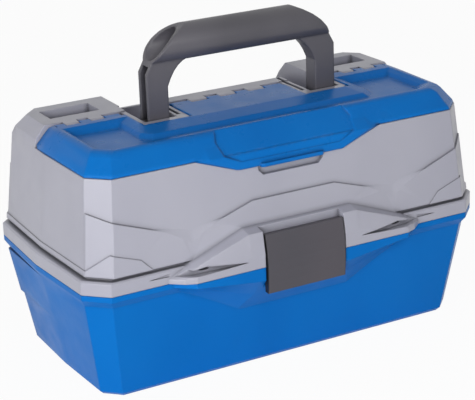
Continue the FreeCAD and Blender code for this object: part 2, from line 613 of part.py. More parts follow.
def make_lid_hollow():
    """Everything that is open from below."""
    body = make_body("LidHollow")
    rim_length = S.rim_length - S.wall
    rim_depth = S.rim_depth - S.wall
    loft(body, "AdditiveLoft", "TrayRoom", "XY_Plane", [
        (S.parting_height - S.wall, plan(rim_length, rim_depth, S.rim_facet, S.rim_bulge)),
        (S.flange_top - S.flange_turn, plan(rim_length, rim_depth, S.rim_facet, S.rim_bulge)),
        (S.flange_top - S.flange_skin, plan(S.ledge_length - S.groove_skin,
                                            S.ledge_depth - S.groove_skin, S.room_facet,
                                            S.wall_bulge)),
        (S.ceiling_height, plan(S.shell_length - S.wall, S.shell_depth - S.wall, S.shell_facet,
                                S.shell_bulge)),
    ])
    for side, name in ((1, "Right"), (-1, "Left")):
        sections = []
        for height, length, depth, facet in (
                (S.ceiling_height - S.wall, S.shell_length, S.shell_depth, S.shell_facet),
                (S.shell_height, S.shell_length, S.shell_depth, S.shell_facet),
                (S.brow_height, S.brow_length, S.brow_depth, S.brow_facet),
                (S.shoulder_roof, S.top_length, S.top_depth, S.top_facet)):
            out = length - S.wall
            back = depth - S.wall
            outline = [(S.shoulder_in, S.shoulder_front), (out, S.shoulder_front),
                       (out, back - facet), (out - facet, back), (S.shoulder_in, back)]
            sections.append((height, outline if side > 0 else mirrored(outline)))
        loft(body, "AdditiveLoft", name + "Shoulder", "XY_Plane", sections)
    bar = oblong(-S.bar_half, S.bar_half, S.shoulder_front, S.bar_back)
    pad_plan(body, "BarRoom", [bar], S.ceiling_height - S.wall, S.bar_roof)
    keep = make_body("ShoulderPocketWalls")
    pocket = oblong(S.tray_pocket_in - S.wall, S.tray_pocket_out + S.wall,
                    S.tray_pocket_front - S.wall, S.tray_pocket_back + S.wall)
    pad_plan(keep, "Walls", both_sides(pocket), S.tray_pocket_floor - S.wall, S.top_height)
    return boolean("Cut", "LidRooms", body, keep)


def lid_link_point():
    """Where the lid holds the upper tray, one arm's length from the lid hinge."""
    return S.lid_axis_y - arm_run(), S.parting_height + arm_rise()


def make_lid_top_cuts():
    """Everything that is open from above, from the front and from behind."""
    body = make_body("LidTopCuts")
    far = S.rim_length + S.overrun
    high = S.top_height + S.wall
    deck = symmetric([(far, -S.rim_depth - S.overrun), (far, S.cover_back), (S.frame_out, S.cover_back),
                      (S.frame_out, S.frame_cut - S.frame_front),
                      (S.frame_out - S.frame_cut, -S.frame_front),
                      (S.frame_in, -S.frame_front), (S.frame_in, S.cover_back)])
    pad_plan(body, "Deck", [deck], S.shell_height, high)
    frames = oblong(S.frame_in - S.wall, S.frame_out + S.wall, -S.frame_front - S.wall, S.cover_back)
    pad_plan(body, "FrameTops", both_sides(frames), S.frame_height, high)
    foot = oblong(S.foot_in, S.foot_out, -S.foot_front, S.channel_front + S.wall)
    pad_plan(body, "FootPockets", both_sides(foot), S.foot_floor, high)
    slit = oblong(S.slit_in, S.slit_out, -S.slit_front, S.slit_back)
    pad_plan(body, "Slits", both_sides(slit), S.slit_floor, high)
    channel = oblong(-S.channel_half, S.channel_half, S.channel_front, S.channel_back)
    pad_plan(body, "Channel", [channel], S.channel_floor, high)
    lip = oblong(-S.channel_half, S.channel_half, S.channel_front, S.rim_depth)
    pad_plan(body, "ChannelBack", [lip], S.channel_lip, high)
    pocket = oblong(S.tray_pocket_in, S.tray_pocket_out, S.tray_pocket_front, S.tray_pocket_back)
    pad_plan(body, "ShoulderPockets", both_sides(pocket), S.tray_pocket_floor, high)
    side_well = [(S.well_side_in, -S.well_front),
                 (S.well_side_out - S.well_facet, -S.well_front),
                 (S.well_side_out, S.well_facet - S.well_front),
                 (S.well_side_out, S.well_back), (S.well_side_in, S.well_back)]
    front_well = oblong(-S.well_front_half, S.well_front_half, -S.well_front, -S.well_front_back)
    mid_well = oblong(-S.well_mid_half, S.well_mid_half, -S.well_mid_front, S.well_back)
    wells = both_sides(side_well) + [front_well, mid_well]
    pad_plan(body, "Wells", wells, S.well_floor, S.shell_height + S.wall)
    latch_half = S.latch_half + S.latch_gap
    recess = oblong(-latch_half, latch_half, S.parting_height - S.wall, S.latch_recess_top)
    pad_front(body, "LatchRecess", [recess], S.boss_face + S.wall, S.latch_recess_back)
    thumb = symmetric([(S.thumb_half - S.thumb_corner, S.thumb_low),
                       (S.thumb_half, S.thumb_low + S.thumb_corner), (S.thumb_half, S.thumb_high)])
    pad_front(body, "ThumbScoop", [thumb], S.rim_depth, S.shell_depth - S.thumb_depth)
    return body


def make_lid_details():
    body = make_body("LidDetails")
    add_cover_knuckles(body, lid_cover_spans(), S.cover_axis_y, S.cover_back + S.parting_gap)
    link = [Disc(lid_link_point(), S.link_boss)]
    pad_side(body, "RightLinkBoss", link, S.link_boss_face, S.ledge_length)
    pad_side(body, "LeftLinkBoss", link, -S.ledge_length, -S.link_boss_face)
    return body


def make_lid_bores():
    """Holes for the pins that are pressed into the lid."""
    body = make_body("LidBores")
    add_cover_bores(body, S.cover_pin)
    link = [Disc(lid_link_point(), S.arm_pin)]
    pad_side(body, "RightLinkBore", link, S.link_boss_face - S.wall, S.pin_end)
    pad_side(body, "LeftLinkBore", link, -S.pin_end, S.wall - S.link_boss_face)
    handle = [Disc((handle_axis_y(), S.handle_axis_z), S.handle_pin)]
    pad_side(body, "RightHandleBore", handle, S.handle_pin_in, S.handle_pin_out)
    pad_side(body, "LeftHandleBore", handle, -S.handle_pin_out, -S.handle_pin_in)
    latch = [Disc((-S.latch_axis_y, S.latch_axis_z), S.latch_pin)]
    pad_side(body, "LatchBore", latch, -S.latch_pin_half, S.latch_pin_half)
    return body


def make_lid_shell():
    hollowed = boolean("Cut", "LidHollowed", make_lid_outside(), make_lid_hollow())
    opened = boolean("Cut", "LidOpened", hollowed, make_lid_top_cuts())
    joined = boolean("Fuse", "LidJoined", opened, make_lid_details())
    knuckles = make_body("LidKnuckles")
    low = S.parting_height + S.parting_gap
    add_lid_knuckles(knuckles, 1, low, S.flange_top - S.parting_gap, S.lid_pin + S.fit)
    with_knuckles = boolean("Fuse", "LidWithKnuckles", joined, knuckles)
    return boolean("Cut", "lid_shell", with_knuckles, make_lid_bores())


# Flip cover


# Where the knuckles of the cover hinge meet, as shares of the row between the two handle
# frames, counted from its middle, and of the row outside a frame, counted from the frame.

MIDDLE_SHARES = (0.1453, 0.3682, 0.6686, 1)
OUTER_SHARES = (0, 0.2464, 0.4622, 0.6331, 0.8489, 1)


def both_spans(marks, first):
    """Every second span between the marks and its mirror image, shortened by half the play."""
    play = S.knuckle_gap / 2
    right = [(low + play, high - play) for low, high in zip(marks, marks[1:])][first::2]
    return right + [(-high, -low) for low, high in right]


def middle_marks():
    return [S.row_in * share for share in MIDDLE_SHARES]


def outer_marks():
    return [S.row_out + (S.row_end - S.row_out) * share for share in OUTER_SHARES]


def lid_cover_spans():
    reach = middle_marks()[0] - S.knuckle_gap / 2
    return [(-reach, reach)] + both_spans(middle_marks(), 1) + both_spans(outer_marks(), 1)


def cover_spans():
    return both_spans(middle_marks(), 0) + both_spans(outer_marks(), 0)


def add_cover_knuckles(body, spans, front, back):
    """Round knuckles on the cover's axis, each with a root between front and back."""
    axis = (S.cover_axis_y, S.cover_axis_z)
    root = oblong(front, back, S.knuckle_root, S.cover_axis_z + S.cover_knuckle)
    for index, (left, right) in enumerate(spans):
        pad_side(body, "CoverKnuckleRoot%d" % index, [root], left, right)
        pad_side(body, "CoverKnuckle%d" % index, [Disc(axis, S.cover_knuckle)], left, right)


def cover_pin_spans():
    return [(-S.row_in, S.row_in), (S.row_out, S.row_end), (-S.row_end, -S.row_out)]


def add_cover_bores(body, radius):
    for index, (left, right) in enumerate(cover_pin_spans()):
        axis = (S.cover_axis_y, S.cover_axis_z)
        pad_side(body, "CoverBore%d" % index, [Disc(axis, radius)], left, right)


def apron_outline(half, run, depth, inner):
    """Front rib of the cover: proud in the middle, with ends that run in over a length."""
    return symmetric([(half - run, -depth), (half, -inner)])


RIM_STEPS = 3


def make_cover_outside():
    body = make_body("CoverOutside")
    low = S.shell_height + S.cover_gap
    rim = bow((S.rim_start, S.rim_start_length, S.rim_start_depth),
              (S.top_height, S.cover_top_length, S.cover_top_depth),
              (S.top_height, S.cover_top_length - S.rim_round, S.cover_top_depth - S.rim_round),
              RIM_STEPS)
    sections = [
        (low, plan(S.cover_length, S.cover_depth, S.cover_facet, S.shell_bulge)),
        (S.cover_hem, plan(S.cover_hem_length, S.cover_hem_depth, S.cover_facet, S.shell_bulge)),
    ]
    sections += [(height, plan(length, depth, S.cover_top_facet, S.shell_bulge))
                 for height, length, depth in rim]
    loft(body, "AdditiveLoft", "Outside", "XY_Plane", sections)
    loft(body, "AdditiveLoft", "Apron", "XY_Plane", [
        (S.apron_low, apron_outline(S.apron_low_half, S.apron_low_run, S.apron_depth_low,
                                    S.apron_in_low)),
        (low, apron_outline(S.apron_half, S.apron_run, S.apron_depth, S.apron_in)),
        (S.apron_high, apron_outline(S.apron_half, S.apron_run, S.apron_depth_high,
                                     S.apron_in_high)),
    ])
    tab = symmetric([(S.tab_half - S.tab_corner, -S.tab_depth),
                     (S.tab_half, S.tab_corner - S.tab_depth), (S.tab_half, -S.apron_in_low)])
    pad_plan(body, "ThumbTab", [tab], S.tab_low, S.tab_high)
    return body


def make_cover_dish():
    """Shallow dish in the apron that a thumb lies in, closed at its ends by slanted walls."""
    floor = make_body("DishFloor")
    front = S.rim_depth + S.overrun
    side = [(-S.dish_low_depth, S.dish_low), (-S.dish_turn_depth, S.dish_turn),
            (-S.dish_high_depth, S.dish_high), (-front, S.dish_high), (-front, S.dish_low)]
    pad_side(floor, "Floor", [side], -S.dish_half - S.dish_taper, S.dish_half + S.dish_taper)
    ends = make_body("DishEnds")
    sections = []
    for depth, taper in ((front, S.dish_taper), (S.dish_end, -S.dish_taper)):
        outline = symmetric([(S.dish_low_half + taper, S.dish_low),
                             (S.dish_side + taper, S.dish_side_height),
                             (S.dish_half + taper, S.dish_half_height),
                             (S.dish_half + taper, S.dish_high)])
        sections.append((depth, outline))
    loft(ends, "AdditiveLoft", "Ends", "XZ_Plane", sections)
    return boolean("Common", "CoverDish", floor, ends)


def make_cover_underside():
    """The hollow under the cover, with the skin behind the dish kept."""
    body = make_body("CoverUnderside")
    low = S.shell_height - S.wall
    skin = S.cover_skin
    loft(body, "AdditiveLoft", "Underside", "XY_Plane", [
        (low, plan(S.cover_length - skin, S.cover_depth - skin, S.cover_facet, S.shell_bulge)),
        (S.cover_hem, plan(S.cover_hem_length - skin, S.cover_hem_depth - skin, S.cover_facet,
                           S.shell_bulge)),
        (S.cover_under, plan(S.cover_under_length, S.cover_under_depth, S.cover_top_facet,
                             S.shell_bulge)),
    ])
    crown = oblong(-S.crown_half, S.crown_half, -S.crown_front, S.crown_back)
    pad_plan(body, "CrownUnderside", [crown], low, S.crown_roof)
    keep = make_body("DishSkin")
    side = [(S.dish_back - S.dish_turn_depth, S.dish_turn),
            (S.dish_back - S.dish_high_depth, S.dish_high),
            (-S.rim_depth, S.dish_high), (-S.rim_depth, S.dish_turn)]
    half = S.dish_half + S.dish_back
    pad_side(keep, "Skin", [side], -half, half)
    return boolean("Cut", "CoverRoom", body, keep)


def make_cover_cuts():
    """The space for the frames and the hinge, and the rear edge."""
    body = make_body("CoverCuts")
    low = S.shell_height - S.wall
    far = S.rim_depth + S.overrun
    wide = S.rim_length + S.overrun
    high = S.top_height + S.wall
    notch = oblong(S.frame_in - S.cover_notch, S.frame_out + S.cover_notch,
                   -S.frame_front - S.cover_notch, far)
    pad_plan(body, "FrameNotches", both_sides(notch), low, high)
    back = [(S.cover_side_foot, low), (S.cover_side_foot, S.shell_height + S.cover_gap),
            (S.cover_side_low, S.cover_hem), (S.cover_axis_y, S.top_height),
            (S.cover_axis_y, high), (far, high), (far, low)]
    pad_side(body, "BackEdge", [back], -wide, wide)
    hinge_room = oblong(-S.row_end - S.knuckle_gap, S.row_end + S.knuckle_gap, S.cover_rear, far)
    pad_plan(body, "HingeRoom", [hinge_room], low, high)
    return body


def recess_outline(length, front, back, inner, shelf):
    """Recess that runs along the front and both ends and leaves a crown between the frames."""
    facet = S.recess_facet
    corner = S.recess_corner
    return symmetric([(length - facet, -front), (length, facet - front), (length, back),
                      (inner, back), (inner, corner - shelf), (inner - corner, -shelf)])


def make_cover_recess():
    body = make_body("CoverRecess")
    loft(body, "AdditiveLoft", "Recess", "XY_Plane", [
        (S.recess_floor, recess_outline(S.recess_length, S.recess_front, S.recess_back,
                                        S.recess_in, S.recess_shelf)),
        (S.recess_bend, recess_outline(S.recess_bend_length, S.recess_bend_front,
                                       S.recess_bend_back, S.recess_bend_in,
                                       S.recess_bend_shelf)),
        (S.top_height, recess_outline(S.recess_top_length, S.recess_top_front, S.recess_back_top,
                                      S.recess_top_in, S.recess_shelf_top)),
    ])
    return body


def make_flip_cover():
    dished = boolean("Cut", "CoverDished", make_cover_outside(), make_cover_dish())
    hollowed = boolean("Cut", "CoverHollowed", dished, make_cover_underside())
    trimmed = boolean("Cut", "CoverTrimmed", hollowed, make_cover_cuts())
    recessed = boolean("Cut", "CoverRecessed", trimmed, make_cover_recess())
    knuckles = make_body("CoverKnuckles")
    add_cover_knuckles(knuckles, cover_spans(), S.cover_rear - S.parting_gap, S.cover_axis_y)
    joined = boolean("Fuse", "CoverWithKnuckles", recessed, knuckles)
    bores = make_body("CoverBores")
    add_cover_bores(bores, S.cover_pin + S.fit)
    return boolean("Cut", "flip_cover", joined, bores)


# Carry handle


def handle_axis_y():
    return -(S.leg_front + S.leg_back) / 2


def make_carry_handle():
    body = make_body("carry_handle")
    axis = (handle_axis_y(), S.handle_axis_z)
    elbow = bow((S.elbow_in, S.elbow_high), (S.elbow_mid, S.elbow_high), (S.leg_in, S.elbow_low),
                BOW_STEPS)
    leg = [(S.leg_in, S.handle_axis_z), (S.leg_out, S.handle_axis_z), (S.leg_out, S.grip_z),
           (S.elbow_in, S.grip_z)] + elbow
    pad_front(body, "Legs", both_sides(leg), S.leg_front, S.leg_back)
    foot = [Disc(axis, (S.leg_front - S.leg_back) / 2)]
    pad_side(body, "RightFoot", foot, S.leg_in, S.leg_out)
    pad_side(body, "LeftFoot", foot, -S.leg_out, -S.leg_in)
    grip = (handle_axis_y(), S.grip_z)
    pad_side(body, "Grip", [Disc(grip, S.grip_radius)], -S.leg_out, S.leg_out)
    cut_side(body, "GripBore", [Disc(grip, S.grip_bore)], -S.leg_out, S.leg_out)
    far = S.leg_out + S.overrun
    high = S.grip_z + S.grip_radius + S.overrun
    end = bow((S.grip_top_half, S.grip_z + S.grip_radius), (S.end_mid, S.end_mid_height),
              (S.leg_out, S.end_low), BOW_STEPS)
    ends = end + [(far, S.end_low), (far, high), (S.grip_top_half, high)]
    cut_front(body, "RoundedEnds", both_sides(ends), S.rim_depth, -S.rim_depth)
    web = S.leg_in + S.leg_web
    channel = [(web, S.channel_low), (far, S.channel_low), (far, S.channel_high),
               (S.channel_turn, S.channel_high), (web, S.channel_side_high)]
    cut_front(body, "OpenChannels", both_sides(channel), S.leg_front - S.leg_wall,
              S.leg_back + S.leg_wall)
    cut_side(body, "PinBore", [Disc(axis, S.handle_pin + S.fit)], -S.leg_out, S.leg_out)
    return body


# Latch


def latch_curve(inset):
    return bow((inset - S.latch_top_face, S.latch_top),
               (inset - S.latch_mid_face, S.latch_mid),
               (inset - S.latch_low_face, S.latch_low), BOW_STEPS)


def make_latch_plate():
    body = make_body("latch_plate")
    outer = latch_curve(term(0)) + [(-S.latch_back, S.latch_low), (-S.latch_back, S.latch_top)]
    pad_side(body, "Plate", [outer], -S.latch_half, S.latch_half)
    inner = latch_curve(S.latch_skin)
    reach = [(-S.latch_root, S.latch_low), (-S.latch_root, S.latch_top)]
    half = S.latch_half - S.latch_skin
    cut_side(body, "Hollow", [inner + reach], -half, half)
    axis = (-S.latch_axis_y, S.latch_axis_z)
    pad_side(body, "Barrel", [Disc(axis, S.latch_barrel)], -S.latch_half, S.latch_half)
    web = oblong(-S.latch_top_face, -S.latch_axis_y, S.latch_axis_z - S.latch_skin / 2,
                 S.latch_axis_z + S.latch_skin / 2)
    pad_side(body, "BarrelWeb", [web], -S.latch_half, S.latch_half)
    hook = oblong(-S.latch_low_face, -S.hook_tip, S.hook_low, S.hook_high)
    pad_side(body, "Hook", [hook], -S.catch_half, S.catch_half)
    cut_side(body, "PinBore", [Disc(axis, S.latch_pin + S.fit)], -S.latch_half, S.latch_half)
    return body


# Trays, dividers and arms


# The lower tray hangs this far along the arms, the upper tray at their ends.

LOWER_TRAY_SHARE = 0.5


def arm_run():
    value = float(S.arm_length) * math.cos(math.radians(float(S.arm_angle)))
    return Term(value, "(Sizes.arm_length * cos(Sizes.arm_angle * 1 deg))")


def arm_rise():
    value = float(S.arm_length) * math.sin(math.radians(float(S.arm_angle)))
    return Term(value, "(Sizes.arm_length * sin(Sizes.arm_angle * 1 deg))")


def arm_points(share):
    """Pin centres of the rear and the front arm at a share of their length."""
    height = S.arm_foot_z + arm_rise() * share
    return [(S.rear_arm_y - arm_run() * share, height), (S.front_arm_y - arm_run() * share, height)]


def make_tray(label, low, high, share, linked):
    body = make_body(label)
    facet = S.tray_facet
    outline = symmetric([(S.tray_half - facet, -S.tray_front), (S.tray_half, facet - S.tray_front),
                         (S.tray_half, S.tray_back - facet), (S.tray_half - facet, S.tray_back)])
    pad_plan(body, "Tray", [outline], low, high)
    wall = S.tray_wall
    end_in = S.rib_x + S.rib_half
    end_out = S.tray_half - wall
    front = wall - S.tray_front
    back = S.tray_back - wall
    rib_front = S.rib_y - S.rib_half
    rib_back = S.rib_y + S.rib_half
    mid = S.rib_x - S.rib_half
    front_end = [(end_in, front), (end_out - facet, front), (end_out, front + facet),
                 (end_out, rib_front), (end_in, rib_front)]
    back_end = [(end_in, rib_back), (end_out, rib_back), (end_out, back - facet),
                (end_out - facet, back), (end_in, back)]
    rooms = both_sides(front_end) + both_sides(back_end)
    rooms += [oblong(-mid, mid, front, rib_front), oblong(-mid, mid, rib_back, back)]
    cut_plan(body, "Compartments", rooms, low + S.tray_floor, high)
    holes = [Disc(point, S.arm_pin) for point in arm_points(share)]
    cut_side(body, "RightPinHoles", holes, S.tray_half - wall * 2, S.tray_half)
    cut_side(body, "LeftPinHoles", holes, -S.tray_half, wall * 2 - S.tray_half)
    if linked:
        link = [Disc(lid_link_point(), S.arm_pin + S.fit)]
        cut_side(body, "RightLinkHole", link, S.tray_half - wall * 2, S.tray_half)
        cut_side(body, "LeftLinkHole", link, -S.tray_half, wall * 2 - S.tray_half)
    return body


def make_dividers(tray, low, high):
    """Four upright cross walls that stand on the tray's floor."""
    rows = (("front", S.tray_wall - S.tray_front, S.rib_y - S.rib_half),
            ("back", S.rib_y + S.rib_half, S.tray_back - S.tray_wall))
    made = []
    for row, row_front, row_back in rows:
        for side, place in (("left", -S.divider_x), ("right", S.divider_x)):
            label = "%s_divider_%s_%s" % (tray, row, side)
            wall = doc.addObject("Part::Box", label)
            bind(wall, "Length", S.divider_half * 2)
            bind(wall, "Width", row_back - row_front - S.divider_play * 2)
            bind(wall, "Height", high - S.divider_drop - low - S.tray_floor)
            bind(wall, ".Placement.Base.x", place - S.divider_half)
            bind(wall, ".Placement.Base.y", row_front + S.divider_play)
            bind(wall, ".Placement.Base.z", low + S.tray_floor)
            made.append(wall)
    return made


def make_arm(label, side, foot_y):
    body = make_body(label)
    strip = oblong(-S.arm_length, 0, -S.arm_half, S.arm_half)
    inner = term(0)
    pad_side(body, "Strip", [strip], inner, S.arm_thick)
    pivots = [(-S.arm_length, 0), (-S.arm_length * LOWER_TRAY_SHARE, 0), (0, 0)]
    for index, point in enumerate(pivots):
        pad_side(body, "Eye%d" % index, [Disc(point, S.arm_half)], inner, S.arm_thick)
    cut_side(body, "PinHoles", [Disc(point, S.arm_pin + S.fit) for point in pivots], inner,
             S.arm_thick)
    turn = FreeCAD.Rotation(FreeCAD.Vector(1, 0, 0), -float(S.arm_angle))
    body.Placement = FreeCAD.Placement(FreeCAD.Vector(), turn)
    place = S.arm_inner if side > 0 else -S.arm_inner - S.arm_thick
    bind(body, ".Placement.Base.x", place)
    bind(body, ".Placement.Base.y", foot_y)
    bind(body, ".Placement.Base.z", S.arm_foot_z)
    bind(body, ".Placement.Rotation.Angle", -S.arm_angle)
    return body


# Pins


def make_rivets(label, points, shank_low, shank_high, head_low, head_high):
    """Headed pins along X at the same places on both sides."""
    members = []
    for index, (y, z) in enumerate(points):
        for side, name in ((1, "Right"), (-1, "Left")):
            shank = cylinder("%s%sShank%d" % (label, name, index), S.arm_pin,
                             shank_high - shank_low, (shank_low * side, y, z), side)
            head = cylinder("%s%sHead%d" % (label, name, index), S.pin_head,
                            head_high - head_low, (head_low * side, y, z), side)
            members.append(boolean("Fuse", "%s%s%d" % (label, name, index), shank, head))
    return group(label, members)


def make_pins():
    hinge_long = S.lid_knuckle_long * KNUCKLES
    lid_pins = [cylinder("LidHingePin%d" % index, S.lid_pin, hinge_long - S.knuckle_gap,
                         (centre - hinge_long / 2, S.lid_axis_y, S.parting_height))
                for index, centre in enumerate((-S.lid_hinge_x, S.lid_hinge_x))]
    cover_pins = [cylinder("CoverHingePin%d" % index, S.cover_pin, high - low,
                           (low, S.cover_axis_y, S.cover_axis_z))
                  for index, (low, high) in enumerate(cover_pin_spans())]
    handle_pins = [cylinder("HandlePin%d" % index, S.handle_pin, S.handle_pin_out - S.handle_pin_in,
                            (low, handle_axis_y(), S.handle_axis_z))
                   for index, low in enumerate((-S.handle_pin_out, S.handle_pin_in))]
    latch_pin = cylinder("latch_hinge_pin", S.latch_pin, S.latch_pin_half * 2,
                         (-S.latch_pin_half, -S.latch_axis_y, S.latch_axis_z))
    head = S.pin_head_thick
    base_low = S.arm_inner - S.pin_play - head
    tray_high = S.arm_inner + S.arm_thick + S.pin_play
    return [
        group("lid_hinge_pins", lid_pins),
        group("cover_hinge_pins", cover_pins),
        group("handle_pivot_pins", handle_pins),
        latch_pin,
        make_rivets("base_arm_pins", arm_points(0), base_low, S.pin_end, base_low, base_low + head),
        make_rivets("lower_tray_pins", arm_points(LOWER_TRAY_SHARE), S.tray_half - S.tray_wall, tray_high,
                    tray_high, tray_high + head),
        make_rivets("upper_tray_pins", arm_points(1), S.tray_half - S.tray_wall, tray_high,
                    tray_high, tray_high + head),
        make_rivets("lid_link_pins", [lid_link_point()], S.link_head_face, S.pin_end,
                    S.link_head_face, S.link_head_face + head),
    ]


def build_all():
    make_sheet()
    made = [make_base_tub(), make_lid_shell(), make_flip_cover(), make_carry_handle(),
            make_latch_plate()]
    made.append(make_tray("lower_tray", S.lower_tray_low, S.lower_tray_high, LOWER_TRAY_SHARE,
                          False))
    made.append(make_tray("upper_tray", S.upper_tray_low, S.upper_tray_high, 1, True))
    made += make_dividers("lower_tray", S.lower_tray_low, S.lower_tray_high)
    made += make_dividers("upper_tray", S.upper_tray_low, S.upper_tray_high)
    for side, name in ((1, "right"), (-1, "left")):
        made.append(make_arm("rear_arm_" + name, side, S.rear_arm_y))
        made.append(make_arm("front_arm_" + name, side, S.front_arm_y))
    made += make_pins()
    doc.recompute()
    return made


def check_document(made):
    for item in doc.Objects:
        if "Invalid" in item.State or "Error" in item.State:
            raise RuntimeError("%s failed: %s" % (item.Label, item.State))
    for item in made:
        if item.Shape.isNull() or not item.Shape.isValid():
            raise RuntimeError("%s has no valid shape" % item.Label)
        print("%-34s %2d solids %10.1f mm3" % (item.Label, len(item.Shape.Solids), item.Shape.Volume))


def write_parts(made):
    os.makedirs("parts", exist_ok=True)
    for item in made:
        item.Shape.exportStep("parts/%s.step" % item.Label)


pieces = build_all()
check_document(pieces)
write_parts(pieces)
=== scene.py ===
import json
import math

import bmesh
import bpy
from mathutils import Matrix, Vector


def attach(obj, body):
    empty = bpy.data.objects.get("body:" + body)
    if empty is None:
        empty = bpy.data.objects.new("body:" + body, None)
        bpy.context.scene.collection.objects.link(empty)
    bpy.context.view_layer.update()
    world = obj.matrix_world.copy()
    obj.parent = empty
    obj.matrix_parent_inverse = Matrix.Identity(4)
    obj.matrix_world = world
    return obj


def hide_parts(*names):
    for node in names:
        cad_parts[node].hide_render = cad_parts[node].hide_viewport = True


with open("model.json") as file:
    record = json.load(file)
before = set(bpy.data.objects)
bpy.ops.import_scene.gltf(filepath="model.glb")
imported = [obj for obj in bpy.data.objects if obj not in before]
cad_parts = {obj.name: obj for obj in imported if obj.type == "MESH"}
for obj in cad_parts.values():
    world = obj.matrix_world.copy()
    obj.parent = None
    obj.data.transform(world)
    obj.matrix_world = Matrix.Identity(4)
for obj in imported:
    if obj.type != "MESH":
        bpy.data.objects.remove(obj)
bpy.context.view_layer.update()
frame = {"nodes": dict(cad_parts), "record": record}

# Tackle box with two cantilever trays: finishes, flange pockets, studio and camera.
# Metres, in the frame of the solids: X along the length, Y to the hinges, Z up.

NODES = frame["nodes"]
MM = 0.001

# Colours of the mouldings, as linear light
BLUE = (0.002, 0.168, 0.560)
BLUE_DEEP = (0.001, 0.150, 0.520)
GREY = (0.420, 0.420, 0.490)
GREY_DEEP = (0.390, 0.390, 0.460)
CHARCOAL = (0.066, 0.063, 0.076)
CHARCOAL_LIGHT = (0.088, 0.084, 0.100)
LATCH_GREY = (0.080, 0.072, 0.086)
MILKY = (0.620, 0.630, 0.640)
MILKY_DEEP = (0.550, 0.560, 0.580)
ZINC = (0.560, 0.555, 0.545)
PAINTED_SHADE_BLACK = (0.010, 0.010, 0.012)
PAPER = (0.900, 0.900, 0.900)

# Broken edges: their widths in millimetres, and the sharpest angle in degrees that stays flat
EDGE_WIDTHS = {
    "base_tub": 1.1, "lid_shell": 1.0, "flip_cover": 0.9, "carry_handle": 1.0, "latch_plate": 0.8,
    "lower_tray": 0.4, "upper_tray": 0.4,
}
TRIM_WIDTH = 0.25
EDGE_ANGLE = 24.0
EDGE_SEGMENTS = 2
WELD_REACH = 0.002

# Surface of the mouldings: patterns in cells per metre, depths and reaches in millimetres
FLOW_CELLS = 14
FLOW_STRETCH = (1, 1, 0.4)
WEAR_CELLS = 240
WEAR_SHARE = 0.12
SHEEN_CELLS = 60
RIPPLE_CELLS = 18
RIPPLE_DEPTH = 0.12
# The two reaches are how far the painted shade in creases and in the handle's hollows looks for
# the piece's own faces
CREASE_SHADE_REACH = 5
HOLLOW_SHADE_REACH = 16
FLANK_START = 35.1


def add_object(name, mesh):
    """Object with the mesh that a bmesh holds, at the origin of the scene."""
    data = bpy.data.meshes.new(name)
    mesh.to_mesh(data)
    mesh.free()
    piece = bpy.data.objects.new(name, data)
    bpy.context.scene.collection.objects.link(piece)
    return piece


# Shader helpers


class Finish:
    """A node material with the few links that a moulded or rolled surface needs."""

    def __init__(self, name, roughness, metallic=0.0):
        self.material = bpy.data.materials.new(name)
        self.material.use_nodes = True
        self.tree = self.material.node_tree
        self.shader = self.tree.nodes["Principled BSDF"]
        self.shader.inputs["Roughness"].default_value = roughness
        self.shader.inputs["Metallic"].default_value = metallic
        self.place = self.tree.nodes.new("ShaderNodeTexCoord").outputs["Object"]

    def add(self, kind, **values):
        node = self.tree.nodes.new("ShaderNode" + kind)
        for name, value in values.items():
            setattr(node, name, value)
        return node

    def link(self, start, end):
        self.tree.links.new(start, end)

    def math(self, operation, *values):
        """Result of a sum on sockets and numbers."""
        node = self.add("Math", operation=operation)
        for socket, value in zip(node.inputs, values):
            if isinstance(value, (int, float)):
                socket.default_value = value
            else:
                self.link(value, socket)
        return node.outputs["Value"]

    def ramp(self, value, low, high, to_low, to_high):
        node = self.add("MapRange")
        node.inputs["From Min"].default_value = low
        node.inputs["From Max"].default_value = high
        node.inputs["To Min"].default_value = to_low
        node.inputs["To Max"].default_value = to_high
        self.link(value, node.inputs["Value"])
        return node.outputs["Result"]

    def blend(self, share, low, high):
        """Colour between two colours or sockets."""
        node = self.add("Mix", data_type="RGBA")
        for socket, value in (("A_Color", low), ("B_Color", high)):
            target = next(item for item in node.inputs if item.identifier == socket)
            if isinstance(value, tuple):
                target.default_value = (*value, 1)
            else:
                self.link(value, target)
        self.link(share, node.inputs["Factor"])
        return next(item for item in node.outputs if item.identifier == "Result_Color")

    def noise(self, cells, detail, stretch=(1, 1, 1)):
        """Noise on object coordinates, with so many cells in a metre."""
        mapping = self.add("Mapping")
        mapping.inputs["Scale"].default_value = stretch
        self.link(self.place, mapping.inputs["Vector"])
        node = self.add("TexNoise")
        node.inputs["Scale"].default_value = cells
        node.inputs["Detail"].default_value = detail
        self.link(mapping.outputs["Vector"], node.inputs["Vector"])
        return node.outputs["Fac"]

    def from_middle(self):
        """Distance from the plane halfway along the box, in metres."""
        split = self.add("SeparateXYZ")
        self.link(self.place, split.inputs["Vector"])
        return self.math("ABSOLUTE", split.outputs["X"])

    def edge(self, radius):
        """Rounded normal, and how far it leans from the face: 1 on a sharp edge."""
        bevel = self.add("Bevel", samples=6)
        bevel.inputs["Radius"].default_value = radius
        geometry = self.add("NewGeometry")
        dot = self.add("VectorMath", operation="DOT_PRODUCT")
        self.link(bevel.outputs["Normal"], dot.inputs[0])
        self.link(geometry.outputs["Normal"], dot.inputs[1])
        return bevel.outputs["Normal"], self.ramp(dot.outputs["Value"], 1.0, 0.75, 0.0, 1.0)

    def openness(self, reach):
        """How much of the view from a point the piece itself leaves open."""
        shade = self.add("AmbientOcclusion", samples=6, only_local=True)
        shade.inputs["Distance"].default_value = reach
        return shade.outputs["AO"]

    def grain(self, layers, normal):
        """Bump layers on a normal, each a height socket with its depth."""
        for height, depth in layers:
            bump = self.add("Bump")
            bump.inputs["Strength"].default_value = 1.0
            bump.inputs["Distance"].default_value = depth
            self.link(height, bump.inputs["Height"])
            self.link(normal, bump.inputs["Normal"])
            normal = bump.outputs["Normal"]
        self.link(normal, self.shader.inputs["Normal"])


# Finishes


